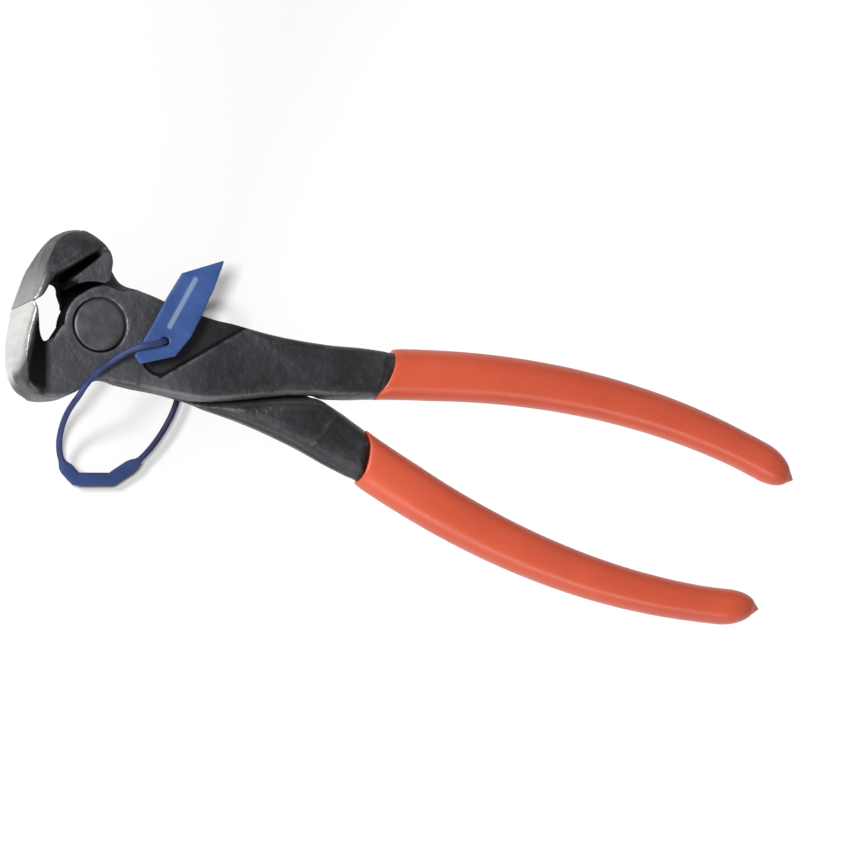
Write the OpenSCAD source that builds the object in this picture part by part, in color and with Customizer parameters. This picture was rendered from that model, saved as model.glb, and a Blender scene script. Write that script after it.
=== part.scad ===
// End-cutting nippers: two forged levers lapped at a flush rivet, dipped
// plastic grips, and a plastic hang tag on a loop strap.
// X runs from the jaws towards the handles, Y across the handles, and Z along
// the rivet.  The origin is on the rivet axis at the rear face of the joint.

/* [Jaws] */
// Width of the cutting edge
jaw_w = 24; // [20:0.5:26]
// Distance from the rivet to the cutting edge
mouth = 19; // [18.5:0.1:19.5]
// Gap left between the closed cutting edges
edge_gap = 0.1; // [0.06:0.02:0.3]

/* [Joint] */
// Thickness of the lapped joint
joint_t = 12; // [11:0.5:13]
// Gap between the two lapped plates
lap_gap = 0.2; // [0.1:0.05:0.3]
// Radius of each lever's round joint plate
disc_r = 9.9; // [9:0.1:10.1]
// Radius of the shoulder that turns round the other lever's plate
shoulder_r = 11.2; // [11.2:0.1:11.6]
// Widest opening of the levers, in degrees
open_angle = 20; // [16:1:28]

/* [Rivet] */
// Radius of the rivet's flush heads
head_r = 6.6; // [5.5:0.1:7]
// Radius of the rivet's shank
shank_r = 4.6; // [4:0.1:5]
// Depth of each head
head_t = 2.4; // [2:0.1:3]
// Radial clearance where the rear lever turns on the rivet
running_gap = 0.05; // [0.02:0.01:0.1]

/* [Handles] */
// Depth of the sunk panel beside the joint
panel_depth = 0.5; // [0.2:0.1:0.8]
// Thickness of the handles where the grips begin
neck_t = 9.2; // [8:0.2:10]

/* [Grips] */
// Distance from the rivet to the front lip of the grips
grip_x = 74; // [72:1:78]
// Width of a grip at its lip
grip_w = 13.6; // [12.5:0.1:14]
// Width of a grip before its rounded end
grip_end_w = 9.1; // [8:0.1:10]
// Thickness of a grip at its lip
grip_t = 10.6; // [10:0.1:11.5]
// Wall of the dipped plastic over the handle
dip_wall = 1.3; // [0.8:0.1:1.6]

/* [Tag] */
// Thickness of the tag plate
tag_t = 1.2; // [0.8:0.1:1.4]
// Diameter of the loop strap
strap_d = 1.7; // [1.4:0.1:1.8]

/* [Hidden] */
$fn = 64;
metal_colour = [0.2, 0.2, 0.22];
grip_colour = [0.86, 0.31, 0.2];
tag_colour = [0.22, 0.37, 0.68];

half_t = joint_t / 2;
lap_z = lap_gap / 2;
reach = 250;

// Outlines of the front lever, whose jaw is below the rivet and whose handle
// is above it.  The rear lever is the same lever turned over about X.
jaw_back = [[-mouth, -5], [-18.8, -9], [-18.1, -13], [-17.1, -16], [-15.6, -18.6],
            [-13.4, -20.4], [-10.8, -21.2], [-8.2, -21], [-5.6, -20.2], [-2.9, -18.9],
            [-0.6, -16.9], [1.2, -14.9], [3.6, -12.9], [7, -12.5], [13, -12.4]];
jaw_hollow = [[-9.2, -4.5], [-10.6, -7.2], [-11.6, -8.1], [-13, -8.4], [-14.3, -7.8],
              [-15.4, -6], [-17.2, -2.4]];
handle_under = [[21, -11.5], [29.3, -10.4], [35.4, -8.4], [41.5, -6], [49, -2.9],
                [55, -0.9], [61, 0.8], [67, 2.5], [grip_x + 1, 4.9]];
handle_over = [[grip_x + 1, 17.3], [66, 14.9], [57, 12.9], [46, 11.3], [36, 10.7],
               [24, 10.7], [14, 11.3], [10, 11.4], [6.8, 11.1], [4.2, 10.3]];

// Steep flank between the thin joint and the wide jaw, across the flank line
flank_start = [-11.8, -6.2];
flank_end = [-5.4, -16];
flank_angle = atan2(flank_end[1] - flank_start[1], flank_end[0] - flank_start[0]);
flank_foot = half_t - 0.6;
flank_rise = [[-0.7, flank_foot], [1.2, half_t + 0.9], [2.4, half_t + 2.5], [3.2, half_t + 4.4],
              [4.2, half_t + 5.2], [7, half_t + 6.2]];
// The crescent of each jaw ends here, measured round from the handles
crescent_end = -(69.5 + open_angle);
// Sunk panel on the outer face of each handle's root, open at the upper edge
panel_edge = [[12.9, -5.2], [13.4, -6.3], [14.6, -7.2], [16.4, -7.7], [18.2, -7.4],
              [19.6, -6.4], [37.5, 12.5], [18.3, 12.5]];

// Centre line of a grip, as a cubic curve from its lip to its tip
spine = [[73, 10.4], [109, 22.6], [146, 26], [180.6, 16.8]];
spine_steps = 22;
tip_length = 12;
tang_stop = 0.94;
lip_t = (grip_x - spine[0][0]) / 108;

function bezier(p, t) = pow(1 - t, 3) * p[0] + 3 * pow(1 - t, 2) * t * p[1]
    + 3 * (1 - t) * t * t * p[2] + pow(t, 3) * p[3];
function ease(a, b, t) = a + (b - a) * min(1, t / 0.85);
function tip_factor(x) =
    let (u = max(0, (x - spine[3][0] + tip_length) / tip_length))
    max(0.08, pow(max(0, 1 - u * u), 0.6));
function half_w(t) = ease(grip_w, grip_end_w, t) / 2 * tip_factor(bezier(spine, t)[0]);
function half_h(t) = ease(grip_t, grip_t - 1.4, t) / 2 * tip_factor(bezier(spine, t)[0]);
function step_t(i) = lip_t + (1 - lip_t) * sin(90 * i / spine_steps);

// Superellipse section of a grip, in the plane across X
grip_sides = 28;
roundness = 2.5;
function squircle(a, w, h) =
    [w * sign(cos(a)) * pow(abs(cos(a)), 2 / roundness),
     h * sign(sin(a)) * pow(abs(sin(a)), 2 / roundness)];
function grip_ring(t) =
    let (c = bezier(spine, t))
    [for (k = [0 : grip_sides - 1])
        let (q = squircle(360 * k / grip_sides, half_w(t), half_h(t)))
        [c[0], c[1] + q[0], q[1]]];

// A closed skin over rings of n points each
module skin(rings) {
    n = len(rings[0]);
    last = (len(rings) - 1) * n;
    polyhedron(
        points = [for (r = rings) each r],
        faces = concat(
            [[for (k = [0 : n - 1]) k]],
            [for (i = [0 : len(rings) - 2], k = [0 : n - 1])
                let (a = i * n + k, b = i * n + (k + 1) % n)
                [a, a + n, b + n, b]],
            [[for (k = [n - 1 : -1 : 0]) last + k]]));
}

// Everything is drawn about the middle of the joint and then raised
module raised() {
    translate([0, 0, half_t])
        children();
}

module wedge(from, to) {
    polygon([[0, 0], reach * [cos(from), sin(from)],
             reach * [cos((from + to) / 2), sin((from + to) / 2)],
             reach * [cos(to), sin(to)]]);
}

module jaw_outline() {
    polygon(concat([[-mouth, -edge_gap / 2]], jaw_back, [[13, 0]], jaw_hollow,
                   [[-mouth + 0.3, -edge_gap / 2]]));
}

module handle_outline() {
    polygon(concat([[-2, 9.7], [-2, -9], [7, -12.5], [13, -12.4]],
                   handle_under, handle_over));
}

module tang_outline() {
    steps = [for (i = [0 : 12]) lip_t + (tang_stop - lip_t) * i / 12];
    under = [for (t = steps) bezier(spine, t) - [0, half_w(t) - dip_wall]];
    over = [for (i = [12 : -1 : 0])
        bezier(spine, steps[i]) + [0, half_w(steps[i]) - dip_wall]];
    polygon(concat([[grip_x - 2, 5.3]], under, over, [[grip_x - 2, 15.6]]));
}

// The part of the handle clear of the other lever's plate, which spans both halves
module full_handle_outline() {
    clear = 0.6;
    difference() {
        handle_outline();
        polygon(concat([[-30, 30], [30, 30]],
                       [for (i = [1 : len(handle_under) - 3])
                           [handle_under[i][0] + clear, clear - handle_under[i][1]]],
                       [[60, -30], [-30, -30]]));
    }
}

// Wide, flared jaw before the joint is cut into it
module jaw_block() {
    tip_cut = [-0.545, -0.48, 0.684];
    intersection() {
        difference() {
            linear_extrude(jaw_w, center = true) jaw_outline();
            for (side = [-1, 1])
                translate([flank_start[0], flank_start[1], 0])
                    rotate([0, 0, flank_angle])
                        mirror([0, 0, side < 0 ? 1 : 0])
                            flank_cutter();
        }
        // side of the jaw rounded down towards its heel
        rotate([90, 0, 90])
            linear_extrude(60, center = true)
                polygon(concat(
                    [for (a = [0 : 10 : 180])
                        [-23.4 * pow(sin(a), 0.75),
                         jaw_w / 2 * sign(cos(a)) * pow(abs(cos(a)), 0.6)]],
                    [[1, -jaw_w / 2], [1, jaw_w / 2]]));
        // ground bevels from the cutting edge to the sides
        for (side = [-1, 1])
            mirror([0, 0, side < 0 ? 1 : 0])
                translate([-mouth, 0, jaw_w / 2])
                    rotate([atan2(-tip_cut[1], tip_cut[2]), asin(tip_cut[0]), 0])
                        translate([-60, -60, -80])
                            cube([120, 120, 80]);
    }
}

module flank_cutter() {
    rotate([90, 0, 90])
        linear_extrude(120, center = true)
            polygon(concat([[40, flank_foot]], [for (p = flank_rise) [-p[0], p[1]]],
                           [[-7, 30], [40, 30]]));
}

// Side view of the handle, thick at the root and thinner under the grip
module handle_side() {
    side = [[-30, half_t + 1], [24, half_t + 1], [62, neck_t / 2 + 0.3], [grip_x, neck_t / 2],
            [grip_x, grip_t / 2 - dip_wall], [reach, grip_t / 2 - dip_wall - 0.4]];
    rotate([90, 0, 0])
        linear_extrude(reach, center = true)
            polygon(concat(side, [for (i = [len(side) - 1 : -1 : 0])
                [side[i][0], -side[i][1]]]));
}

module lever_body() {
    difference() {
        union() {
            intersection() {
                union() {
                    // front half: round joint plate and handle root
                    translate([0, 0, lap_z])
                        linear_extrude(half_t - lap_z) {
                            circle(disc_r);
                            handle_outline();
                        }
                    // both halves: jaw and the handle past the other lever's plate
                    linear_extrude(joint_t, center = true) {
                        jaw_outline();
                        full_handle_outline();
                        tang_outline();
                    }
                }
                handle_side();
            }
            jaw_block();
        }
        // room for the other lever's round plate and its handle root
        translate([0, 0, lap_z - jaw_w])
            linear_extrude(jaw_w) {
                circle(shoulder_r);
                difference() {
                    wedge(crescent_end, 0);
                    translate([30.5, -40]) square([reach, 80]);
                }
            }
        translate([0, 0, half_t - panel_depth])
            linear_extrude(jaw_w) polygon(panel_edge);
    }
}

module rivet_hole(gap) {
    translate([0, 0, -jaw_w]) cylinder(r = shank_r + gap, h = 2 * jaw_w);
    translate([0, 0, half_t - head_t - 2 * gap]) cylinder(r = head_r + gap, h = jaw_w);
}

module front_lever() {
    color(metal_colour)
        raised()
            difference() {
                lever_body();
                rivet_hole(0);
            }
}

module rear_lever() {
    color(metal_colour)
        raised()
            rotate([180, 0, 0])
                difference() {
                    lever_body();
                    rivet_hole(running_gap);
                }
}

module pivot_rivet() {
    edge = 0.4;
    color(metal_colour)
        raised()
            rotate_extrude()
                polygon([[0, -half_t], [head_r - edge, -half_t], [head_r, edge - half_t],
                         [head_r, head_t - half_t], [shank_r, head_t - half_t],
                         [shank_r, half_t - head_t], [head_r, half_t - head_t],
                         [head_r, half_t - edge], [head_r - edge, half_t], [0, half_t]]);
}

module dipped_grip() {
    difference() {
        skin([for (i = [0 : spine_steps]) grip_ring(step_t(i))]);
        intersection() {
            linear_extrude(jaw_w, center = true) {
                handle_outline();
                tang_outline();
            }
            handle_side();
        }
    }
}

module front_grip() {
    color(grip_colour) raised() dipped_grip();
}

module rear_grip() {
    color(grip_colour) raised() rotate([180, 0, 0]) dipped_grip();
}

// The tag lies over the handle root, with its strap doubled back under it
tag_outline = [[9.9, -5.2], [11.6, -6.6], [19.4, -2.2], [21.9, 3.4], [23.2, 10],
               [24.2, 16.5], [24.7, 23.5], [15.8, 17.6], [13.9, 10.8], [12.4, 4],
               [11, -1.2]];
tag_z = 14.6;
hole_at = [16.1, 0.4];

module tag_plate() {
    color(tag_colour)
        translate([0, 0, tag_z])
            difference() {
                linear_extrude(tag_t) polygon(tag_outline);
                translate([hole_at[0], hole_at[1], -1]) cylinder(r = strap_d / 2, h = 4);
            }
}

// Route of the strap from the hole in the tag, down round the joint, under the
// tool and back over its upper edge to the underside of the tag
strap_route = [
    [16.1, 0.4, 14.8], [15.4, 0, 16.5], [13.2, -1.4, 17], [10.6, -2.8, 16.8],
    [8.2, -4.4, 15.6], [6.2, -6.6, 14.2], [4.4, -8.9, 13.4], [2.7, -11.1, 13.2],
    [1.3, -13.5, 13.2], [0.2, -16, 13.3], [-0.5, -18.6, 12.6], [-0.9, -20.6, 10.2],
    [-0.9, -22.8, 6.6], [-0.3, -25.6, 2.6], [0.8, -28.8, -0.6], [2.8, -32, -2.7],
    [6.2, -34.8, -3.6], [11, -35.2, -3.6], [15.6, -33.4, -3.6], [19.2, -29.8, -3.5],
    [22, -26, -3.3], [24.2, -21.6, -3.1], [25.9, -16.4, -2.9], [26.8, -11, -2.6],
    [26.6, -5.4, -2.3], [25.8, 0, -2.2], [24.6, 5.2, -2.2], [23, 10.2, -2.1],
    [21.5, 13.8, -0.4], [20.5, 15.8, 3.4], [19.8, 16, 8], [19.2, 14, 11.8],
    [18.2, 10, 13.6], [17, 5.2, 13.6], [15.4, 0.6, 13.6], [13.8, -3.2, 13.9]];
strap_sides = 8;

function unit(v) = v / norm(v);
function heading(p, i) = unit(p[min(i + 1, len(p) - 1)] - p[max(i - 1, 0)]);
function upright(d) = unit(cross(d, abs(d[2]) < 0.8 ? [0, 0, 1] : [1, 0, 0]));
// Each ring turns as little as it can from the ring before it
function carry(u, d) = unit(u - (u * d) * d);
function frames(p, i = 0, u = undef) =
    let (d = heading(p, i), v = is_undef(u) ? upright(d) : carry(u, d))
    i == len(p) - 1 ? [v] : concat([v], frames(p, i + 1, v));

module tag_strap() {
    sides = frames(strap_route);
    color(tag_colour)
        skin([for (i = [0 : len(strap_route) - 1])
            let (d = heading(strap_route, i), u = sides[i], v = cross(d, u))
            [for (k = [strap_sides - 1 : -1 : 0])
                let (a = 360 * k / strap_sides)
                strap_route[i] + strap_d / 2 * (cos(a) * u + sin(a) * v)]]);
}

front_lever();
rear_lever();
pivot_rivet();
front_grip();
rear_grip();
tag_plate();
tag_strap();
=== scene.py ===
"""End-cutting nippers with dipped grips and a hang tag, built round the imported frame.

Lengths in the shape code are millimetres about the middle plane of the joint, with
X towards the handles and Z along the rivet; to_row() turns them into the row frame.
"""

import math
from types import SimpleNamespace

import bpy
import numpy as np
import openvdb as vdb
from mathutils import Matrix, Vector


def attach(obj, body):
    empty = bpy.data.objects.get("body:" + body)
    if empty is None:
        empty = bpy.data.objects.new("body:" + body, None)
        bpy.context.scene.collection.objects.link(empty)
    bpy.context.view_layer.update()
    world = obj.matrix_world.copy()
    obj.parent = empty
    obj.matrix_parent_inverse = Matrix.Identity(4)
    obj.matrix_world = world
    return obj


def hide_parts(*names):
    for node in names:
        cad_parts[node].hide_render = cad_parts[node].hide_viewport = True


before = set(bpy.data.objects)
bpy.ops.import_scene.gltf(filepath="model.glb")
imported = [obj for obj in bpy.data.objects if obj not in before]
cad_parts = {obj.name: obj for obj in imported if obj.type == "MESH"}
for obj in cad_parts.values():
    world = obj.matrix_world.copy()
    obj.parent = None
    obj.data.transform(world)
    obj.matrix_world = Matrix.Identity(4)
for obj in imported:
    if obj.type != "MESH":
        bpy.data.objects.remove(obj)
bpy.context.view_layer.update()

MM = 0.001

# camera: tilted off straight down towards the direction TURN, then rolled
CAMERA_TILT, CAMERA_TURN, CAMERA_ROLL = 17, 38.5, -16.397    # degrees
CAMERA_TARGET = (87.4, 1.6, 6)
CAMERA_DISTANCE = 4.0  # metres
VIEW_WIDTH = 209.8     # width of the frame at the target
SENSOR = 36            # width of the camera's sensor

# floor: it slopes to lie parallel to the line from the jaws to the grip tips
FLOOR_HEIGHT, FLOOR_AT_X = -8.3, -15
FLOOR_SLOPE = 0.0405
FLOOR_MIDDLE_X, FLOOR_REACH = 0.09, 1.6    # metres
FLOOR_CELLS = 8        # each way

# joint
HALF_T = 6.0           # half the thickness of the joint
LAP = 0.1              # half the gap between the lapped plates
PLATE_R = 9.9          # each lever's round plate
RIVET_R = 6.35         # rivet head
SHANK_R = 4.35         # rivet shank
BORE_R = 4.4           # hole for the shank
GROOVE_R = 6.8         # sunk ring round the rivet head
GROOVE_DEPTH = 0.9
PANEL_DEPTH = 0.8      # sunk panel beside the joint
CRESCENT_R = 10.75     # radius at which the far half of a jaw begins
CRESCENT_AT = (-1.5, 0.55)               # and the centre of that radius
CRESCENT_END = -91.3   # direction, in degrees, of the step that ends that half
HEEL_END = (-4.2, -18.3)                 # where the jaw's slot ends, at its heel
LAP_END = 30.5         # x at which the handles stop lapping
PLATE_GAP = 0.18       # between a plate's edge and the other lever
CORNER_CUT = 1.25      # cut off the far half's inner corner
STEP_AT, STEP_SLANT = (63, 4.4), 0.42    # step under the handle, before the grip

# outlines of the front lever, from above
CURVE_STEPS = 6        # points drawn for each span of an outline
FACE_SPANS = 7         # spans of JAW_BACK that border the cutting face
JAW_BACK = [(-18.95, -0.05), (-18.95, -5), (-18.8, -9), (-18.1, -13), (-17.1, -16),
            (-15.6, -18.6), (-13.4, -20.4), (-10.8, -21.2), (-8.2, -21), (-5.6, -20.2),
            (-2.9, -18.9), (-0.6, -16.9), (1.2, -14.9), (3.6, -12.9), (7, -12.3),
            (13, -11.4)]
JAW_HOLLOW = [(-9.1, -2.6), (-9.9, -5), (-10.5, -6.8), (-11.3, -7.7), (-12.7, -7.8),
              (-14.2, -6.3), (-16, -2.7), (-18.2, -0.05)]
HANDLE_UNDER = [(13, -12.4), (21, -11.5), (29.3, -10.4), (35.4, -8.4), (41.5, -6),
                (49, -2.9), (55, -0.9), (61, 0.8), (67, 2.5), (76, 5.2)]
HANDLE_OVER = [(76, 16.6), (66, 14.9), (57, 12.9), (46, 11.3), (36, 10.7),
               (24, 10.7), (14, 11.3), (10, 11.3), (6.8, 10.8), (2, 9.6)]
PANEL_FRONT = [(12.9, -5.2), (13.4, -6.3), (14.6, -7.2), (16.4, -7.7), (18.2, -7.4),
               (19.6, -6.4), (38.5, 13.5)]
PANEL_BACK = [(18.3, 13.5), (15, 3)]

# foot and crest lines of the jaw's two flanks, as (x, distance from the joint's line)
NEAR_FOOT = [(-12.6, 2), (-11.2, 7.5), (-9.2, 13.2), (-7.4, 18.9), (-6.2, 23)]
NEAR_CREST = [(-16.9, 0), (-16.8, 2.6), (-16.1, 9.9), (-15.8, 14.4), (-15.2, 18.5),
              (-13.7, 22)]
FAR_FOOT = [(-12.4, 3), (-11.2, 6), (-10.6, 8.2), (-8, 11.6), (-4.7, 16.1),
            (-2.4, 18.6)]
FAR_CREST = [(-16.3, 3), (-15.9, 5.6), (-15, 8.1), (-12.7, 10.3), (-10.5, 12.6),
             (-8.4, 14.8), (-6.2, 17), (-3.6, 19.6)]

# profiles, as places and the values there: half widths and heights of the jaw by the
# distance from the joint's line, and half thicknesses of the handle by x
FACE_W = ([0, 2, 7.4, 10, 13, 18, 20.5, 22.3], [11.5, 9.9, 8.0, 6.8, 4.2, 2.8, 4.0, 7.0])
CREST_H = ([0, 3, 10, 15, 19, 23], [11.6, 11.4, 11.0, 10.3, 9.3, 8.6])
FAR_H = ([0, 4, 8, 13, 22], [11.5, 11.2, 10.3, 9.3, 8.4])
SIDE_H = ([24, 62, 78], [HALF_T, 4.8, 4.2])
RAMP_H = ([23, 30, 50, 62, 78], [1.6, 2.4, 4.95, 4.95, 4.4])

# grips
GRIP_X = 74.0          # where the grips begin
GRIP_LENGTH = 108      # along X
GRIP_POWER = 2.35      # how square the cross-section is; 2 is an ellipse
GRIP_WIDTH, GRIP_HEIGHT = (13.6, 9.1), (10.6, 9.2)    # at the lip and at the tip
SPINE = np.array([[73, 10.4], [109, 22.6], [146, 26], [180.6, 16.8]])
# steel inside the start of a grip: half width, half height, and slope along the spine
SLEEVE_W, SLEEVE_H, SLEEVE_SLOPE = 6.35, 4.75, 0.339

# tag and strap
TAG_OUTLINE = [(9.9, -5.2), (11.6, -6.6), (19.4, -2.2), (21.9, 3.4), (23.2, 10),
               (24.2, 16.5), (24.7, 23.5), (15.8, 17.6), (13.9, 10.8), (12.4, 4),
               (11, -1.2)]
TAG_HOLE = (16.1, 0.4)
TAG_STRIPE = [(16.2, 4.2), (19.2, 17.2)]
TAG_HEIGHT = 15.2
STRAP_STEPS = 5        # points drawn for each span of the route
STRAP_ROUTE = [
    (16.1, 0.4, 14.8), (15.4, 0, 16.5), (13.2, -1.4, 17), (10.6, -2.8, 16.8),
    (8.2, -4.4, 15.6), (6.2, -6.6, 14.2), (4.4, -8.9, 13.4), (2.7, -11.1, 13.2),
    (1.3, -13.5, 13.2), (0.2, -16, 13.3), (-0.5, -18.6, 12.6), (-0.9, -20.6, 10.2),
    (-0.9, -22.8, 6.6), (-0.3, -25.6, 2.6), (0.8, -28.8, -0.6), (2.8, -32, -2.7),
    (6.2, -34.8, -3.6), (11, -35.2, -3.6), (15.6, -33.4, -3.6), (19.2, -29.8, -3.5),
    (22, -26, -3.3), (24.2, -21.6, -3.1), (25.9, -16.4, -2.9), (26.8, -11, -2.6),
    (26.6, -5.4, -2.3), (25.8, 0, -2.2), (24.6, 5.2, -2.2), (23, 10.2, -2.1),
    (21.5, 13.8, -0.4), (20.5, 15.8, 3.4), (19.8, 16, 8), (19.2, 14, 11.8),
    (18.2, 10, 13.6), (17, 5.2, 13.6), (15.4, 0.6, 13.6), (13.8, -3.2, 13.9)]
# the strap's wide band: its ends and folds, in spans of the route, and the places of
# the two middle folds
BAND_ENDS = (15.0, 20.0)
BAND_FOLDS = np.array([15.4, 16.4, 18.4, 19.8])
BAND_CORNERS = [(7.8, -35.5, -3.6), (16.3, -32.9, -3.6)]


# ---------------------------------------------------------------- camera

def add_camera():
    """The camera, and its target and directions, which place the lights."""
    tilt, turn, roll = (math.radians(a) for a in (CAMERA_TILT, CAMERA_TURN, CAMERA_ROLL))
    e = (-math.cos(turn), -math.sin(turn))
    along = Vector((math.cos(tilt) * e[0], math.cos(tilt) * e[1], -math.sin(tilt)))
    across = Vector((-e[1], e[0], 0))

    def turned(v):
        return (math.cos(roll) * v[0] - math.sin(roll) * v[1],
                math.sin(roll) * v[0] + math.cos(roll) * v[1])

    e_turned, across_turned = turned(e), turned((-e[1], e[0]))
    right = e_turned[0] * along + across_turned[0] * across
    up = e_turned[1] * along + across_turned[1] * across
    back = right.cross(up)
    target = Vector(CAMERA_TARGET) * MM
    data = bpy.data.cameras.new("camera")
    data.lens = SENSOR / VIEW_WIDTH * CAMERA_DISTANCE / MM
    data.clip_start, data.clip_end = 0.05, 20
    camera = bpy.data.objects.new("camera", data)
    bpy.context.scene.collection.objects.link(camera)
    matrix = Matrix((right, up, back)).transposed().to_4x4()
    matrix.translation = target + back * CAMERA_DISTANCE
    camera.matrix_world = matrix
    bpy.context.scene.camera = camera
    return SimpleNamespace(target=target, right=right, up=up, back=back)


# ---------------------------------------------------------------- curves and fields

def to_row(points):
    return (np.asarray(points, float) + (0, 0, HALF_T)) * MM


def turned_over(points):
    """The rear lever is the front one turned over about X."""
    return np.asarray(points, float) * (1, -1, -1)


def smooth_path(points, steps):
    """Catmull-Rom curve through the points."""
    p = np.asarray(points, float)
    last = len(p) - 1
    out = []
    for i in range(last):
        a, b, c, d = p[max(i - 1, 0)], p[i], p[i + 1], p[min(i + 2, last)]
        for k in range(steps):
            t = k / steps
            out.append(0.5 * (2 * b + (c - a) * t + (2 * a - 5 * b + 4 * c - d) * t * t
                              + (3 * b - a - 3 * c + d) * t ** 3))
    out.append(p[-1])
    return np.array(out)


def line_distance(x, y, points, closed=False):
    """Distance to a polyline, and whether a point is inside it."""
    d2 = np.full(x.shape, 1e9)
    inside = np.zeros(x.shape, bool)
    ends = list(zip(points, np.roll(points, -1, 0) if closed else points[1:]))
    for (ax, ay), (bx, by) in ends:
        ex, ey = bx - ax, by - ay
        t = np.clip(((x - ax) * ex + (y - ay) * ey) / (ex * ex + ey * ey + 1e-12), 0, 1)
        d2 = np.minimum(d2, (x - ax - t * ex) ** 2 + (y - ay - t * ey) ** 2)
        if closed and ay != by:
            crosses = ((ay > y) != (by > y)) & (x < (bx - ax) * (y - ay) / (by - ay) + ax)
            inside ^= crosses
    return np.sqrt(d2), inside


def signed(x, y, points):
    """Distance to a closed outline, negative inside it."""
    d, inside = line_distance(x, y, np.asarray(points, float), closed=True)
    return np.where(inside, -d, d)


def soft_max(a, b, k):
    """The greater of two fields, with the corner rounded over a width of k."""
    h = np.maximum(k - np.abs(a - b), 0) / k
    return np.maximum(a, b) + h * h * k / 4


def soft_min(a, b, k):
    return -soft_max(-a, -b, k)


def ramp01(value):
    return np.clip(value, 0, 1)


def grid_axes(low, high, step):
    return [np.arange(a, b, step) for a, b in zip(low, high)]


def skin_of(field, low, step):
    """Surface of a signed distance grid as points and quads facing out."""
    reach = 3.0    # cells kept on each side of the surface
    grid = vdb.FloatGrid(reach)
    grid.copyFromArray(np.clip(field / step, -reach, reach).astype(np.float32))
    points, quads = grid.convertToQuads(isovalue=0.0)
    points = points * step + np.asarray(low)
    p = points[quads]
    corner_normal = np.cross(p[:, 1] - p[:, 0], p[:, 2] - p[:, 0])
    volume = np.einsum("ij,ij->i", p[:, 0], corner_normal).sum()
    return points, (quads if volume > 0 else quads[:, ::-1])


def edge_wear(points, quads, reach):
    """How convex the surface is at each point, from 0 to 1, and its normals."""
    total = np.zeros_like(points)
    count = np.zeros(len(points))
    normal = np.zeros_like(points)
    p = points[quads]
    face = np.cross(p[:, 2] - p[:, 0], p[:, 3] - p[:, 1])
    for k in range(4):
        np.add.at(total, quads[:, k], points[quads[:, (k + 1) % 4]])
        np.add.at(total, quads[:, k], points[quads[:, (k + 3) % 4]])
        np.add.at(count, quads[:, k], 2)
        np.add.at(normal, quads[:, k], face)
    normal /= np.linalg.norm(normal, axis=1, keepdims=True) + 1e-12
    bulge = np.einsum("ij,ij->i", points - total / count[:, None], normal)
    for _ in range(3):
        mixed = np.zeros(len(points))
        for k in range(4):
            np.add.at(mixed, quads[:, k], bulge[quads[:, (k + 1) % 4]])
            np.add.at(mixed, quads[:, k], bulge[quads[:, (k + 3) % 4]])
        bulge = 0.5 * bulge + 0.5 * mixed / count
    return ramp01(bulge / reach), normal


# ---------------------------------------------------------------- mesh tools

def add_mesh(name, points, faces, body, material, nodes=(), attributes=None):
    """A piece that rides on a body, with one value per point for each attribute."""
    mesh = bpy.data.meshes.new(name)
    mesh.from_pydata([tuple(p) for p in points], [],
                     [tuple(int(i) for i in f) for f in faces])
    mesh.update()
    mesh.shade_smooth()
    for key, values in (attributes or {}).items():
        mesh.attributes.new(key, "FLOAT", "POINT").data.foreach_set(
            "value", np.asarray(values, np.float32))
    mesh.materials.append(material)
    obj = bpy.data.objects.new(name, mesh)
    bpy.context.scene.collection.objects.link(obj)
    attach(obj, body)
    if nodes:
        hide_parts(*nodes)
    return obj


def circle(count):
    """Cosines and sines of evenly spaced directions."""
    a = np.arange(count) * 2 * math.pi / count
    return np.cos(a), np.sin(a)


def signed_power(value, power):
    return np.sign(value) * np.abs(value) ** power


def facing_out(points, faces):
    volume = 0.0
    for f in faces:
        for k in range(1, len(f) - 1):
            volume += np.dot(points[f[0]], np.cross(points[f[k]], points[f[k + 1]]))
    return faces if volume > 0 else [tuple(reversed(f)) for f in faces]


def skin_rings(rings):
    """Points and faces of a closed skin over rings, with a fan at each end."""
    count, n = rings.shape[:2]
    points = np.concatenate([rings.reshape(-1, 3), rings[:1].mean(1), rings[-1:].mean(1)])
    first, last = count * n, count * n + 1
    faces = []
    for i in range(count - 1):
        for k in range(n):
            a, b = i * n + k, i * n + (k + 1) % n
            faces.append((a, b, b + n, a + n))
    top = (count - 1) * n
    for k in range(n):
        faces.append((first, (k + 1) % n, k))
        faces.append((last, top + k, top + (k + 1) % n))
    return points, facing_out(points, faces)


# ---------------------------------------------------------------- materials

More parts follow.
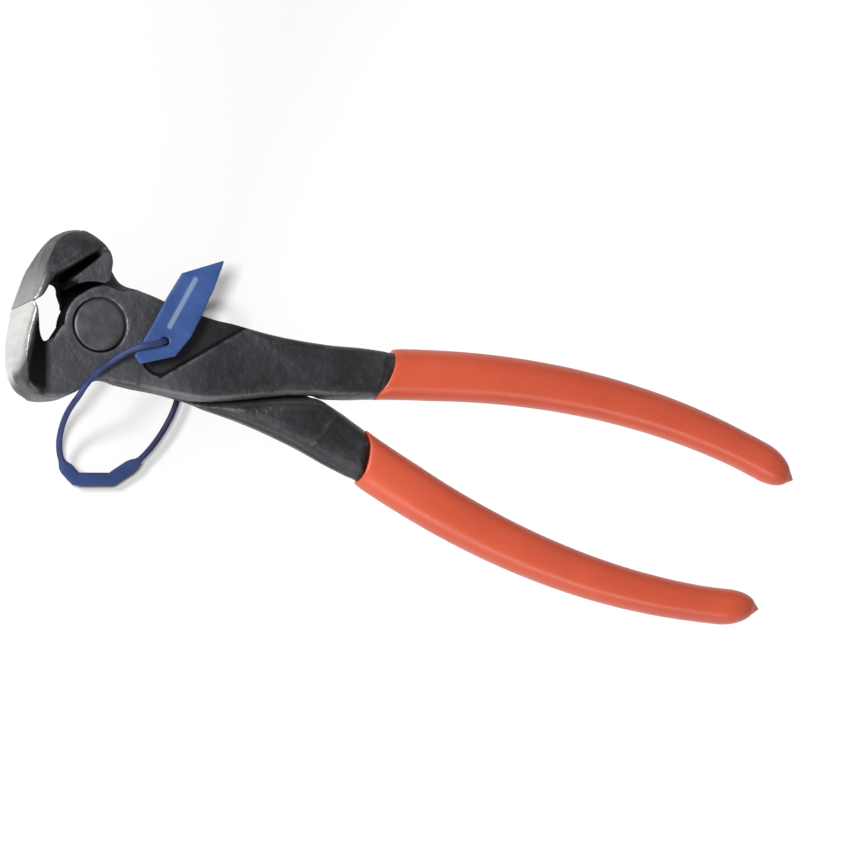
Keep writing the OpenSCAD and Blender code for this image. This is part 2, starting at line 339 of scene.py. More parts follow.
class Nodes:
    """Short way to lay out one material's nodes."""

    def __init__(self, name):
        self.material = bpy.data.materials.new(name)
        self.material.use_nodes = True
        self.tree = self.material.node_tree
        self.shader = self.tree.nodes["Principled BSDF"]
        self.where = self.add("ShaderNodeTexCoord").outputs["Object"]

    def add(self, kind, **settings):
        node = self.tree.nodes.new(kind)
        for key, value in settings.items():
            setattr(node, key, value)
        return node

    def link(self, source, target):
        self.tree.links.new(source, target)

    def put(self, node, key, value):
        socket = node.inputs[key]
        if isinstance(value, bpy.types.NodeSocket):
            self.link(value, socket)
        else:
            socket.default_value = value

    def surface(self, inputs):
        """Set the shader's inputs; a constant goes straight on its socket."""
        for key, value in inputs.items():
            self.put(self.shader, key, value)
        return self.material

    def noise(self, scale, detail=3, stretch=None, rough=0.5):
        node = self.add("ShaderNodeTexNoise")
        source = self.where
        if stretch:
            mapping = self.add("ShaderNodeMapping")
            mapping.inputs["Scale"].default_value = stretch
            self.link(source, mapping.inputs["Vector"])
            source = mapping.outputs["Vector"]
        self.link(source, node.inputs["Vector"])
        node.inputs["Scale"].default_value = scale
        node.inputs["Detail"].default_value = detail
        node.inputs["Roughness"].default_value = rough
        return node.outputs["Fac"]

    def ramp(self, value, low, high, out_low=0.0, out_high=1.0):
        node = self.add("ShaderNodeMapRange", clamp=True)
        for key, v in (("Value", value), ("From Min", low), ("From Max", high),
                       ("To Min", out_low), ("To Max", out_high)):
            self.put(node, key, v)
        return node.outputs["Result"]

    def math(self, operation, a, b=0.0):
        node = self.add("ShaderNodeMath", operation=operation)
        self.put(node, 0, a)
        self.put(node, 1, b)
        return node.outputs["Value"]

    def mix(self, factor, a, b):
        """Mix two colours."""
        node = self.add("ShaderNodeMix", data_type="RGBA")
        self.put(node, 0, factor)
        for key, v in ((6, a), (7, b)):
            if isinstance(v, bpy.types.NodeSocket):
                self.link(v, node.inputs[key])
            else:
                node.inputs[key].default_value = (*v, 1)
        return node.outputs[2]

    def mix_value(self, factor, a, b):
        node = self.add("ShaderNodeMix", data_type="FLOAT")
        for key, v in ((0, factor), (2, a), (3, b)):
            self.put(node, key, v)
        return node.outputs[0]

    def clouded(self, cloud, dark, light):
        """A colour that drifts between two tones."""
        return self.mix(self.ramp(cloud, 0.35, 0.68), dark, light)

    def attribute(self, name):
        return self.add("ShaderNodeAttribute", attribute_name=name).outputs["Fac"]

    def bump(self, height, distance, after=None):
        node = self.add("ShaderNodeBump")
        self.put(node, "Height", height)
        node.inputs["Distance"].default_value = distance
        node.inputs["Strength"].default_value = 1.0
        if after is not None:
            self.link(after, node.inputs["Normal"])
        return node.outputs["Normal"]


def steel_material():
    """Forged oxide with grain and pits, and bright ground steel; lighter edges from edge
    wear, painted light on the handles' lower sides and along the heel, and painted shade
    in hollows and gaps.
    """
    n = Nodes("forged_steel")
    ground, wear_and_side_light, deep, faced, painted_under_light = (
        n.attribute(name) for name in ("ground", "wear_and_side_light", "deep", "faced", "painted_under_light"))
    cloud = n.noise(90, 4)
    grain = n.noise(1500, 3)
    pits = n.noise(420, 5, rough=0.6)
    streak = n.noise(700, 3, stretch=(1, 1, 0.06))

    forged = n.clouded(cloud, (0.016, 0.016, 0.019), (0.030, 0.030, 0.035))
    plain = n.clouded(cloud, (0.047, 0.048, 0.055), (0.067, 0.069, 0.079))
    oxide = n.mix(faced, forged, plain)
    oxide = n.mix(n.ramp(grain, 0.55, 0.75, 0, 0.20), oxide, (0.085, 0.086, 0.094))
    # lighter at convex edges from wear, and painted light on the handles' lower side walls
    edge = n.math("MULTIPLY", wear_and_side_light, n.ramp(n.noise(330, 4), 0.38, 0.6))
    oxide = n.mix(n.math("MULTIPLY", edge, 0.55), oxide, (0.21, 0.21, 0.22))
    # painted light on the handles' lower edges, and a faint painted highlight along the
    # step
    oxide = n.mix(painted_under_light, oxide, (0.17, 0.17, 0.175))
    # painted shade, near black, where hardly any light reaches
    oxide = n.mix(deep, oxide, (0.004, 0.004, 0.005))
    bright = n.mix(n.ramp(streak, 0.3, 0.7), (0.56, 0.56, 0.545), (0.73, 0.73, 0.71))
    ragged = n.ramp(n.noise(240, 4), 0.3, 0.7, -0.05, 0.05)
    ground = n.ramp(n.math("ADD", ground, ragged), 0.08, 0.95)

    metal = n.ramp(ground, 0, 1, 0.45, 1.0)
    rough = n.mix_value(ground, n.ramp(cloud, 0.3, 0.7, 0.40, 0.56),
                        n.ramp(streak, 0.3, 0.7, 0.28, 0.40))
    scale = n.ramp(ground, 0, 1, 1, 0.12)
    pitted = n.bump(n.math("MULTIPLY", pits, scale), 0.00042)
    return n.surface({
        "Base Color": n.mix(ground, oxide, bright),
        # the painted shade also turns off metallic and specular and raises roughness
        "Metallic": n.math("MULTIPLY", metal, n.ramp(deep, 0, 1, 1, 0)),
        "Roughness": n.math("MAXIMUM", rough, deep),
        "Specular IOR Level": n.ramp(deep, 0, 1, 0.5, 0.04),
        "Normal": n.bump(n.math("MULTIPLY", grain, scale), 0.00005, after=pitted)})


def rivet_material():
    n = Nodes("rivet_steel")
    cloud = n.noise(260, 3)
    grain = n.noise(1300, 3)
    base = n.clouded(cloud, (0.050, 0.050, 0.054), (0.078, 0.079, 0.086))
    return n.surface({
        "Base Color": n.mix(n.ramp(grain, 0.55, 0.75, 0, 0.4), base, (0.12, 0.12, 0.13)),
        "Metallic": 0.5,
        "Roughness": n.ramp(cloud, 0.3, 0.7, 0.38, 0.52),
        "Normal": n.bump(grain, 0.00006)})


def grip_material():
    n = Nodes("dipped_grip")
    fine = n.noise(900, 3)
    base = n.clouded(n.noise(38, 3), (0.445, 0.060, 0.025), (0.50, 0.073, 0.031))
    waves = n.bump(n.noise(60, 1), 0.0004)
    return n.surface({
        "Base Color": n.mix(n.ramp(fine, 0.6, 0.8, 0, 0.12), base, (0.72, 0.15, 0.075)),
        "Roughness": n.ramp(n.noise(150, 4), 0.3, 0.7, 0.34, 0.44),
        "Specular IOR Level": 0.5,
        "Normal": n.bump(fine, 0.00003, after=waves)})


def tag_material():
    n = Nodes("tag_plastic")
    cloud = n.noise(180, 3)
    base = n.clouded(cloud, (0.019, 0.050, 0.175), (0.026, 0.064, 0.205))
    stripe = n.math("MULTIPLY", n.attribute("stripe"), 0.6)
    return n.surface({
        "Base Color": n.mix(stripe, base, (0.22, 0.29, 0.40)),
        "Roughness": n.ramp(cloud, 0.3, 0.7, 0.40, 0.52),
        "Normal": n.bump(n.noise(800, 3), 0.00005)})


def strap_material():
    n = Nodes("strap_plastic")
    cloud = n.noise(240, 3)
    thin = n.clouded(cloud, (0.013, 0.022, 0.085), (0.020, 0.034, 0.120))
    # painted shade darkens the loop's side under the tool
    thin = n.mix(n.attribute("painted_strap_shade"), thin, (0.012, 0.013, 0.046))
    band = n.clouded(cloud, (0.012, 0.029, 0.100), (0.017, 0.038, 0.125))
    return n.surface({
        "Base Color": n.mix(n.attribute("band"), thin, band),
        "Roughness": n.ramp(cloud, 0.3, 0.7, 0.55, 0.66),
        "Specular IOR Level": 0.35,
        "Normal": n.bump(n.noise(900, 3), 0.00004)})


# ---------------------------------------------------------------- tag

def add_tag():
    low, high, step = (8.5, -8.2, -1.6), (26.2, 25.2, 1.7), 0.22
    half_thickness, past_outline, hole_r = 0.5, 0.25, 1.0
    x, y, z = grid_axes(low, high, step)
    gx, gy = np.meshgrid(x, y, indexing="ij")
    plan = signed(gx, gy, TAG_OUTLINE) - past_outline
    hole = hole_r - np.hypot(gx - TAG_HOLE[0], gy - TAG_HOLE[1])
    plan = soft_max(plan, hole, 0.3)
    field = soft_max(plan[:, :, None], np.abs(z)[None, None, :] - half_thickness, 0.45)
    points, quads = skin_of(field, low, step)
    # pale stripe along the plate, and a slight curl of its far corner
    start, end = (np.array(p) for p in TAG_STRIPE)
    axis = end - start
    t = ((points[:, :2] - start) @ axis) / (axis @ axis)
    off = np.linalg.norm(points[:, :2] - start - ramp01(t)[:, None] * axis, axis=1)
    stripe = ramp01((0.75 - off) / 0.3) * (points[:, 2] > 0)
    along = ramp01((points[:, 1] + 4) / 27)
    points[:, 2] += TAG_HEIGHT + 0.55 * along ** 2 - 0.25 * np.sin(along * math.pi)
    return add_mesh("hang_tag", points * MM, quads, "front", tag_material(),
                    ["tag_plate"], {"stripe": stripe})


# ---------------------------------------------------------------- strap

def sweep(path, section, level):
    """Rings over the path; section(i) gives one ring's points as (side, height) pairs,
    and level says how far each ring's side is turned to lie flat."""
    tangent = np.gradient(path, axis=0)
    tangent /= np.linalg.norm(tangent, axis=1, keepdims=True)
    side = np.cross(tangent[0], (0, 0, 1.0))
    rings = []
    for i, (c, t) in enumerate(zip(path, tangent)):
        flat_side = np.cross(t, (0, 0, 1.0))
        flat_side *= np.sign(flat_side @ side) / np.linalg.norm(flat_side)
        side = side * (1 - level[i]) + flat_side * level[i]
        side = side - (side @ t) * t
        side /= np.linalg.norm(side)
        over = np.cross(side, t)
        rings.append([c + a * side + b * over for a, b in section(i)])
    return np.array(rings)


def rounded(width, height, power, count):
    """Points of a rounded oblong, given its half width and half height."""
    c, s = circle(count)
    return np.stack([width * signed_power(c, 2 / power),
                     height * signed_power(s, 2 / power)], 1)


def add_strap():
    path = smooth_path(STRAP_ROUTE, STRAP_STEPS)
    spans = np.arange(len(path)) / STRAP_STEPS
    # the strap flattens into a wider, sharply folded band at the foot of the loop
    first, last = BAND_FOLDS[0], BAND_FOLDS[-1]
    corners = np.array([path[round(first * STRAP_STEPS)], *BAND_CORNERS,
                        path[round(last * STRAP_STEPS)]])
    held = (spans >= first) & (spans <= last)
    for k in range(3):
        path[held, k] = np.interp(spans[held], BAND_FOLDS, corners[:, k])
    flat = ramp01(np.minimum((spans - BAND_ENDS[0]) / 0.6, (BAND_ENDS[1] - spans) / 0.6))
    flat = flat * flat * (3 - 2 * flat)
    # and it thins at both ends, where it goes into the tag's hole
    taper = np.clip(np.minimum(spans / 0.4, (35.2 - spans) / 0.5), 0.35, 1)

    def section(i):
        w = (0.75 + 0.90 * flat[i]) * taper[i]
        h = (0.70 - 0.05 * flat[i]) * taper[i]
        return rounded(w, h, 2.6 + 2.0 * flat[i], 20)

    rings = sweep(path, section, flat) * MM
    per_ring = rings.shape[1]
    # painted shade: the side of the loop nearer the handles, which lies under the tool, is
    # darker
    painted_strap_shade = ramp01((spans - 19.5) / 1.5)
    points, faces = skin_rings(rings)
    strap = add_mesh("hang_strap", points, faces, "front",
                     strap_material(), ["tag_strap"],
                     {"band": np.concatenate([np.repeat(flat, per_ring), [0, 0]]),
                      "painted_strap_shade": np.concatenate([np.repeat(painted_strap_shade, per_ring), [0, 1]])})
    return strap


# ---------------------------------------------------------------- levers

def every_z(plan_value):
    """A value in the plane of the joint, held at every height."""
    return plan_value[:, :, None]


def part_way(gx, wide, foot, crest):
    """How far each point is from the foot line (0) to the crest line (1)."""
    foot, crest = np.array(foot), np.array(crest)
    foot_x = np.interp(wide, foot[:, 1], foot[:, 0])
    crest_x = np.interp(wide, crest[:, 1], crest[:, 0])
    return (foot_x - gx) / (foot_x - crest_x)


def lever_plan(gx, gy):
    """Values in the plane of the joint that the shape and its masks share: distances
    from outlines and lines, and the way up each flank of the jaw."""
    wide = np.abs(gy)
    back = smooth_path(JAW_BACK, CURVE_STEPS)
    hollow = smooth_path(JAW_HOLLOW, CURVE_STEPS)
    face_line = back[:FACE_SPANS * CURVE_STEPS + 1]
    return SimpleNamespace(
        jaw=signed(gx, gy, np.concatenate([back, [(13, 0)], hollow])),
        face_depth=line_distance(gx, gy, face_line)[0],
        heel_depth=line_distance(gx, gy, back)[0],
        heel_end=np.hypot(gx - HEEL_END[0], gy - HEEL_END[1]),
        near=part_way(gx, wide, NEAR_FOOT, NEAR_CREST),
        far=part_way(gx, wide, FAR_FOOT, FAR_CREST),
        centre=np.hypot(gx, gy),
        crescent=np.hypot(gx - CRESCENT_AT[0], gy - CRESCENT_AT[1]),
        step_line=gx - STEP_AT[0] + STEP_SLANT * (gy - STEP_AT[1]),
        panel=signed(gx, gy, smooth_path(PANEL_FRONT, 4).tolist() + PANEL_BACK))


def jaw_heights(wide, plan):
    """Height of the jaw's near side, and of its far side with the dark slot."""
    face_w, crest_h = np.interp(wide, *FACE_W), np.interp(wide, *CREST_H)
    band = face_w + (crest_h - face_w) * np.clip(plan.face_depth / 1.15, 0, 1.6)
    near = (HALF_T + (crest_h - HALF_T) * ramp01(plan.near) ** 1.5
            + 2 * np.maximum(plan.near - 1, 0))
    near = soft_min(near, band, 0.4)

    plateau = np.minimum(np.interp(wide, *FAR_H) + 0.35 * plan.face_depth, 11.2)
    heel_slope = 6.6 + 1.1 * plan.heel_depth + 4 * ramp01((16 - wide) / 6)
    plateau = soft_min(plateau, heel_slope, 1.0)
    plateau = soft_min(plateau, 6.1 + 0.75 * plan.heel_end, 0.8)
    slot = 4.4 * ramp01(1.6 - np.abs((plan.far - 0.42) / 0.34))
    slot = slot * ramp01((plan.heel_end - 0.8) / 3)
    slot = slot * ramp01((plan.heel_depth - 0.4) / 1.6)
    flank = HALF_T - slot + (plateau - HALF_T) * ramp01((plan.far - 0.5) / 0.5)
    flank = flank + 6 * np.maximum(plan.far - 1, 0) + 3 * ramp01((1.5 - plan.heel_end) / 3)
    far = soft_min(soft_min(flank, plateau, 0.6), band, 0.4)
    return near, far


def jaw_field(gy, zz, step, plan):
    def slope(height):
        """How much a flank's distance is less than its height difference."""
        a, b = np.gradient(height, step)
        return np.sqrt(1 + a * a + b * b)

    near, far = jaw_heights(np.abs(gy), plan)
    near_side = (zz - every_z(near)) / every_z(slope(near))
    far_side = (-zz - every_z(far)) / every_z(slope(far))
    return soft_max(every_z(plan.jaw), np.maximum(near_side, far_side), 0.9)


def handle_fields(gx, gy, zz, plan):
    """The round plate with the upper side of the handle, the handle's full thickness,
    and the sleeve that both keep to inside the grip."""
    gx3 = every_z(gx)
    handle = signed(gx, gy, np.concatenate(
        [[(-2, 9.7), (-2, -9), (7, -12.5)], smooth_path(HANDLE_UNDER, CURVE_STEPS),
         smooth_path(HANDLE_OVER, CURVE_STEPS)]))
    # where it has its full thickness, the handle stays clear of the other lever
    clear = np.array([(px + 0.5, 0.5 - py) for px, py in HANDLE_UNDER[1:-2]])
    other = signed(gx, gy, np.concatenate(
        [[(-30, 30), (30, 30)], smooth_path(clear, 4), [(60, -30), (-30, -30)]]))
    full = soft_max(handle, -other, 0.8)

    side_h = np.interp(gx, *SIDE_H)
    ramp_h = np.interp(gx, *RAMP_H) - 0.3 * ramp01(plan.step_line / 0.9 + 0.5)
    plate_r = PLATE_R - 0.9 * ramp01((-2 - gx) / 4)
    plate = soft_min(plan.centre - plate_r, handle, 0.8)
    plate_draft = 0.10 * np.maximum(zz, 0) * ramp01((gx3 - 8) / 6)
    middle, half = every_z((side_h + LAP) / 2), every_z((side_h - LAP) / 2)
    upper = soft_max(every_z(plate) + plate_draft, np.abs(zz - middle) - half,
                     every_z(np.interp(gx, [6, 14], [0.9, 2.2])))

    seam = 0.30 * np.exp(-(zz / 0.55) ** 2) * ramp01((70 - gx3) / 4)
    draft = 0.10 * np.abs(zz)
    tuck = every_z(np.interp(gx, [71, 75], [0, 0.3]))
    faces = np.maximum(zz - every_z(side_h), -zz - every_z(ramp_h))
    both = soft_max(every_z(full) - seam + draft + tuck, faces,
                    every_z(np.interp(gx, [50, 74], [2.2, 5.0])))

    spread = every_z(np.abs(gy - SPINE[0][1] - SLEEVE_SLOPE * (gx - SPINE[0][0])))
    sleeve = ((spread / SLEEVE_W) ** GRIP_POWER
              + (np.abs(zz) / SLEEVE_H) ** GRIP_POWER) ** (1 / GRIP_POWER)
    sleeve = SLEEVE_H * (sleeve - 1) - every_z(0.7 * np.clip(72.4 - gx, 0, 60))
    return soft_max(upper, sleeve, 0.8), soft_max(both, sleeve, 0.8), sleeve


def other_lever_room(gx, gy, plan):
    """Room for the other lever below the lap, and the rounding of its edge."""
    angle = np.degrees(np.arctan2(gy, gx))
    end = math.radians(CRESCENT_END)
    wedge = np.maximum(gx - LAP_END, gx * math.sin(end) - gy * math.cos(end))
    wedge = np.maximum(gy, wedge)
    room = np.minimum(plan.crescent - CRESCENT_R, wedge)
    # the corner that meets the other lever at full opening is cut back
    corner = CORNER_CUT * ramp01((angle + 99) / 7.5) * (gy < 0)
    room = np.minimum(room, plan.centre - PLATE_R - PLATE_GAP - corner)
    outside = ramp01((plan.crescent - 11.6) / 1.5)
    return room, 0.35 + 1.6 * outside * (gy < 0) * (gx < 8)


def lever_field(gx, gy, zz, step, plan):
    """Distance field of the front lever, negative inside it."""
    body = jaw_field(gy, zz, step, plan)
    upper, both, sleeve = handle_fields(gx, gy, zz, plan)
    body = soft_min(soft_min(body, upper, 0.5), both, 1.6)
    body = soft_max(body, sleeve + 0.1, 0.3)
    room, shoulder = other_lever_room(gx, gy, plan)
    body = soft_max(body, -np.maximum(every_z(room), zz - LAP), every_z(shoulder))
    panel = np.maximum(every_z(plan.panel), HALF_T - PANEL_DEPTH - zz)
    body = soft_max(body, -panel, 0.4)
    groove = np.maximum(every_z(plan.centre) - GROOVE_R, HALF_T - GROOVE_DEPTH - zz)
    body = soft_max(body, -groove, 0.2)
    return np.maximum(body, every_z(BORE_R - plan.centre))


def ground_and_rim_light_mask(px, py, pz, at):
    """Bright ground steel: the cutting face and its bevel; also a faint painted reflection
    along the heel's outline.
    """
    wide = np.abs(py)
    near_side = ramp01((at.near - 1.08) / 0.18) * (pz > 0)
    far_side = ramp01((at.far - 0.95) / 0.1) * (pz <= 0)
    far_tone = ramp01(1.0 - at.face_depth / 6) * ramp01(1.15 - wide / 22)
    far_side = far_side * ramp01(far_tone + (at.face_depth < 0.8))
    in_jaw = py < 0.3
    ground = np.where(pz > 0, near_side, far_side)
    ground = ground * ramp01((20.0 - wide) / 3.5) * in_jaw * (px < -8)
    bevel = (ramp01((-15.4 - px) / 0.8) * ramp01((5.6 - wide) / 1.6)
             * ramp01((at.face_depth - 0.1) / 0.3))
    ground = np.maximum(ground, bevel * in_jaw * 0.25)
    ridge = near_side * ramp01((at.face_depth - 0.5) / 0.3)
    # painted reflection: a faint light band along the heel's outline, where the floor is
    # reflected
    heel_rim_painted_light = ramp01(1 - at.heel_depth / 1.8) * (px < 2) * (px > -16) * (wide > 14)
    return np.maximum(ground * (1 - 0.45 * ridge), heel_rim_painted_light * 0.13)


def deep_mask(px, py, pz, at):
    """Places that hardly any light reaches."""
    wide = np.abs(py)
    near_slope = ramp01(np.minimum(at.near / 0.25, (1.0 - at.near) / 0.12))
    near_slope = near_slope * (pz > 5.5) * (px < -6) * ramp01((20.8 - wide) / 2) * (py < 0)
    slot = ramp01(np.minimum((at.far + 0.04) / 0.12, (0.98 - at.far) / 0.10))
    slot = (slot * (pz < -0.5) * (py < -3.5) * (px < 2)
            * ramp01((at.heel_end - 0.6) / 1.5))
    sunk = ramp01((0.25 - at.panel) / 0.3) * (pz < HALF_T - 0.25) * (pz > 4)
    fillet = (ramp01(1.3 - np.abs(at.panel + 0.3) / 0.8)
              * (pz < HALF_T - 0.1) * (pz > 4))
    centre = np.hypot(px, py)
    gap = (np.abs(pz) < 5.75) & (centre > 8.2) & (at.crescent < 11.4) & (px < 4)
    gullet = (ramp01((py + 9.6) / 1.4) * (px < -8)
              * np.where(pz < 0, at.far < 0.98, at.near < 0.9)
              * (py < -1) * (pz < 5) * (centre > 10.2))
    ring = (centre < 7.0) & (pz < HALF_T - 0.15)
    # the ring's painted shade is lighter on one side, as the light falls
    ring_tone = np.clip(0.85 - np.cos(np.arctan2(py, px) - math.radians(60)), 0.3, 1)
    # each of these is painted shade
    return np.maximum.reduce([slot, gap * 1.0, gullet, near_slope * 0.95, sunk * 0.72,
                              fillet * 0.95, ring * ring_tone])


def faced_mask(px, py, pz, normal):
    """Smoother, lighter oxide on the flat faces round the joint."""
    flat_top = ((np.abs(pz) > 4.5) & (np.abs(pz) < 6.4)) | (np.abs(pz) < 0.7)
    level = ramp01((np.abs(normal[:, 2]) - 0.55) / 0.3)
    before_step = (ramp01((61.5 - px) / 2 - 0.21 * (py - STEP_AT[1]))
                   * (pz < -3) * (px > 20))
    return np.maximum(ramp01((34 - px) / 16) * flat_top * level, 0.05 * before_step)


def painted_under_light_mask(px, pz, normal, at):
    """Painted light on the handle's lower side wall, brightest at its top edge, and a
    faint painted highlight along the step near its end.
    """
    under_wall = (ramp01((-normal[:, 1] - 0.45) / 0.3)
                  * ramp01((px - 11) / 7) * (px < 73))
    line = np.exp(-((at.step_line + 0.2) / 0.45) ** 2) * (pz < -3) * (normal[:, 2] < -0.7)
    tone = np.interp(pz, [2.5, 4.8, 5.6], [0.35, 0.6, 1.0])
    return np.maximum(under_wall * tone, 0.15 * line)


def lever():
    """Points, quads and surface masks of the front lever."""
    low, high, step = (-20.5, -24.0, -12.8), (77.0, 18.6, 12.9), 0.3
    x, y, z = grid_axes(low, high, step)
    gx, gy = np.meshgrid(x, y, indexing="ij")
    plan = lever_plan(gx, gy)
    body = lever_field(gx, gy, z[None, None, :], step, plan)
    points, quads = skin_of(body, low, step)

    px, py, pz = points.T
    cell = (np.clip(((px - x[0]) / step).astype(int), 0, len(x) - 1),
            np.clip(((py - y[0]) / step).astype(int), 0, len(y) - 1))
    at = SimpleNamespace(**{key: value[cell] for key, value in vars(plan).items()})
    wear_and_side_light, normal = edge_wear(points, quads, 0.035)
    # painted light on the handle's lower side walls, which face down; it is carried with
    # the edge wear
    painted_side_light = (ramp01((0.6 - np.abs(normal[:, 2])) / 0.3)
               * ramp01((px - 6) / 12) * (px < 72) * (normal[:, 1] < 0))
    ground = ground_and_rim_light_mask(px, py, pz, at)
    return points, quads, {
        "ground": ground,
        "wear_and_side_light": np.maximum(wear_and_side_light, 0.55 * painted_side_light) * (1 - ground),
        "deep": deep_mask(px, py, pz, at),
        "faced": faced_mask(px, py, pz, normal),
        "painted_under_light": painted_under_light_mask(px, pz, normal, at)}


def add_levers():
    steel = steel_material()
    points, quads, masks = lever()
    front = add_mesh("front_lever_forging", to_row(points), quads, "front",
                     steel, ["front_lever"], masks)
    # the rear lever's jaw is left duller behind its cutting face
    px, py, pz = points.T
    on_face = ramp01((px + 15.5) / -2.5) * ramp01(1 + py / 14)
    masks["ground"] = masks["ground"] * (0.09 + 0.36 * on_face)
    masks["wear_and_side_light"] = masks["wear_and_side_light"] * np.where(px < 30, 0.5, 1)
    # and its plate is drawn in a little at the mouth
    centre = np.hypot(px, py)
    mouth = (ramp01(pz / HALF_T) * ramp01((-4 - px) / 3)
             * ramp01((11.6 - centre) / 1.5) * ramp01((centre - 7.2) / 1.8))
    points = points + np.outer(0.9 * mouth, (1, 0, 0))
    rear = add_mesh("rear_lever_forging", to_row(turned_over(points)), quads, "rear",
                    steel, ["rear_lever"], masks)
    return front, rear


def add_rivet():
    """Rivet with a flush head at each end; its profile is (radius, height) pairs."""
    head = [(3.0, 6.0), (5.6, 5.97), (6.15, 5.88), (RIVET_R, 5.6), (RIVET_R, 5.15),
            (SHANK_R, 5.1)]
    profile = [(r, -z) for r, z in head] + head[::-1]
    c, s = circle(96)
    rings = np.array([np.stack([r * c, r * s, np.full(len(c), z)], 1)
                      for r, z in profile])
    points, faces = skin_rings(rings)
    return add_mesh("pivot_rivet_head", to_row(points), faces, "front",
                    rivet_material(), ["pivot_rivet"])


# ---------------------------------------------------------------- grips

def along_spine(t):
    """Bezier curve through the middle of the front grip."""
    t = np.asarray(t)[..., None]
    return ((1 - t) ** 3 * SPINE[0] + 3 * (1 - t) ** 2 * t * SPINE[1]
            + 3 * (1 - t) * t * t * SPINE[2] + t ** 3 * SPINE[3])


def grip():
    """Points and faces of the front grip: lip, ridged body and rounded tip."""
    lip_t = (GRIP_X - SPINE[0][0]) / GRIP_LENGTH
    t = lip_t + (1 - lip_t) * np.sin(np.linspace(0, math.pi / 2, 90))
    centre = along_spine(t)
    to_end = SPINE[3][0] - centre[:, 0]
    u = ramp01((centre[:, 0] - SPINE[3][0] + 9) / 8.0)
    tip = np.maximum(0, 1 - u * u) ** 0.47
    nub = 0.34 * ramp01(to_end / 1.4) ** 0.8
    tip = np.maximum(np.maximum(tip, nub), 0.04)

    def half_size(at_lip, at_tip):
        return (at_lip + (at_tip - at_lip) * np.minimum(1, t / 0.85)) / 2 * tip

    half_w, half_h = half_size(*GRIP_WIDTH), half_size(*GRIP_HEIGHT)
    c, s = circle(96)
    ridge_at = np.degrees(np.arctan2(np.abs(s), np.abs(c)))
    ridge = 1 + 0.014 * np.exp(-((ridge_at - 60) / 14) ** 2)
    unit_y = signed_power(c, 2 / GRIP_POWER) * ridge
    unit_z = signed_power(s, 2 / GRIP_POWER) * ridge

    def ring(i, scale, shift):
        """One ring, whose edge bows forward near the lip."""
        dy = unit_y * half_w[i] * scale
        dz = unit_z * half_h[i] * scale
        bow = (0.4 - 0.03 * (dy - 2) ** 2) * max(0.0, 1 - t[i] * 8)
        return np.stack([centre[i, 0] + shift + bow, centre[i, 1] + dy, dz], 1)

    # the lip turns in over five rings: their scale, and their shift along X
    lip = ((0.70, 0.5), (0.86, 0.1), (0.93, 0.0), (0.975, 0.12), (0.995, 0.4))
    rings = [ring(0, scale, shift) for scale, shift in lip]
    rings += [ring(i, 1.0, 0.0) for i in range(len(t))
              if centre[i, 0] > centre[0, 0] + 0.8]
    return skin_rings(np.array(rings))


def add_grips():
    material = grip_material()
    points, faces = grip()
    front = add_mesh("front_grip_dip", to_row(points), faces, "front",
                     material, ["front_grip"])
    rear = add_mesh("rear_grip_dip", to_row(turned_over(points)), faces, "rear",
                    material, ["rear_grip"])
    return front, rear


# ---------------------------------------------------------------- floor and lights

def floor_material():
    n = Nodes("floor_paper")
    place = n.add("ShaderNodeSeparateXYZ")
    n.link(n.where, place.inputs[0])
    return n.surface({
        "Base Color": n.mix(n.noise(3, 2), (0.30, 0.298, 0.298), (0.32, 0.32, 0.32)),
        "Roughness": 0.9,
        "Specular IOR Level": 0.1,
        "Emission Color": (1, 1, 1, 1),
        "Emission Strength": n.ramp(place.outputs["X"], 0.03, 0.13, 0.02, 0.3)})


def add_floor():
    spread = [FLOOR_REACH * (2 * i / FLOOR_CELLS - 1) for i in range(FLOOR_CELLS + 1)]
    points = []
    for dx in spread:
        px = FLOOR_MIDDLE_X + dx
        height = FLOOR_HEIGHT * MM + FLOOR_SLOPE * (px - FLOOR_AT_X * MM)
        points += [(px, py, height) for py in spread]
    row = FLOOR_CELLS + 1
    corners = [i * row + k for i in range(FLOOR_CELLS) for k in range(FLOOR_CELLS)]
    mesh = bpy.data.meshes.new("floor")
    mesh.from_pydata(points, [], [(a, a + row, a + row + 1, a + 1) for a in corners])
    mesh.materials.append(floor_material())
    floor = bpy.data.objects.new("floor", mesh)
    bpy.context.scene.collection.objects.link(floor)
    return floor


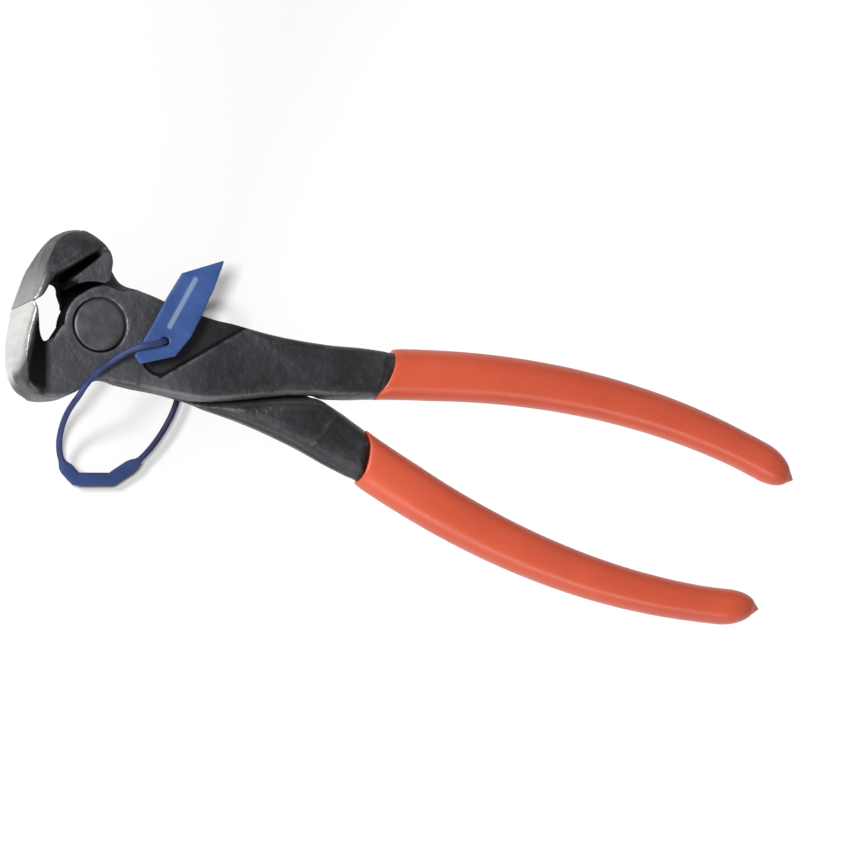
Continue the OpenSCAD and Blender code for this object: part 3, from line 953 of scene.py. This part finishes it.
def add_light(view, name, place, size, power):
    """Soft panel that faces the target; place is how far it is across, above and
    towards the camera, as the camera sees it, in metres."""
    data = bpy.data.lights.new(name, "AREA")
    data.shape = "RECTANGLE"
    data.size, data.size_y = size
    data.energy = power
    light = bpy.data.objects.new(name, data)
    bpy.context.scene.collection.objects.link(light)
    across, above, toward = place
    at = view.target + view.right * across + view.up * above + view.back * toward
    facing = (at - view.target).normalized()
    side = (view.right - facing * view.right.dot(facing)).normalized()
    matrix = Matrix((side, facing.cross(side), facing)).transposed().to_4x4()
    matrix.translation = at
    light.matrix_world = matrix
    return light


def light_only(light, lit, blockers=None):
    """Let a light reach only some objects, and be shadowed only by others."""
    def group_of(objects, suffix):
        group = bpy.data.collections.new(light.name + suffix)
        for obj in objects:
            group.objects.link(obj)
        return group

    light.light_linking.receiver_collection = group_of(lit, "_lit")
    if blockers:
        light.light_linking.blocker_collection = group_of(blockers, "_blockers")


def add_lights(view, pieces, floor, tag, strap):
    scene = bpy.context.scene
    scene.view_settings.view_transform = "Standard"
    world = bpy.data.worlds.new("studio")
    scene.world = world
    world.use_nodes = True
    background = world.node_tree.nodes["Background"]
    background.inputs["Color"].default_value = (1, 1, 1, 1)
    background.inputs["Strength"].default_value = 0.34
    light_only(add_light(view, "key", (-0.46, 0.20, 0.86), (0.30, 0.30), 12.5), pieces)
    light_only(add_light(view, "low_strip", (0.0, -0.68, 0.48), (0.9, 0.16), 3.4), pieces)
    # the floor is lit on its own, so that only the tag and its strap shade it
    floor_key = add_light(view, "floor_key", (-0.17, 0.09, 0.98), (0.15, 0.15), 18.5)
    light_only(floor_key, [floor], [tag, strap])
    floor_fill = add_light(view, "floor_fill", (-0.50, 0.24, 0.82), (0.16, 0.16), 12.5)
    light_only(floor_fill, [floor], [strap])


camera_view = add_camera()
tag_piece = add_tag()
strap_piece = add_strap()
object_pieces = [tag_piece, strap_piece, *add_levers(), add_rivet(), *add_grips()]
add_lights(camera_view, object_pieces, add_floor(), tag_piece, strap_piece)
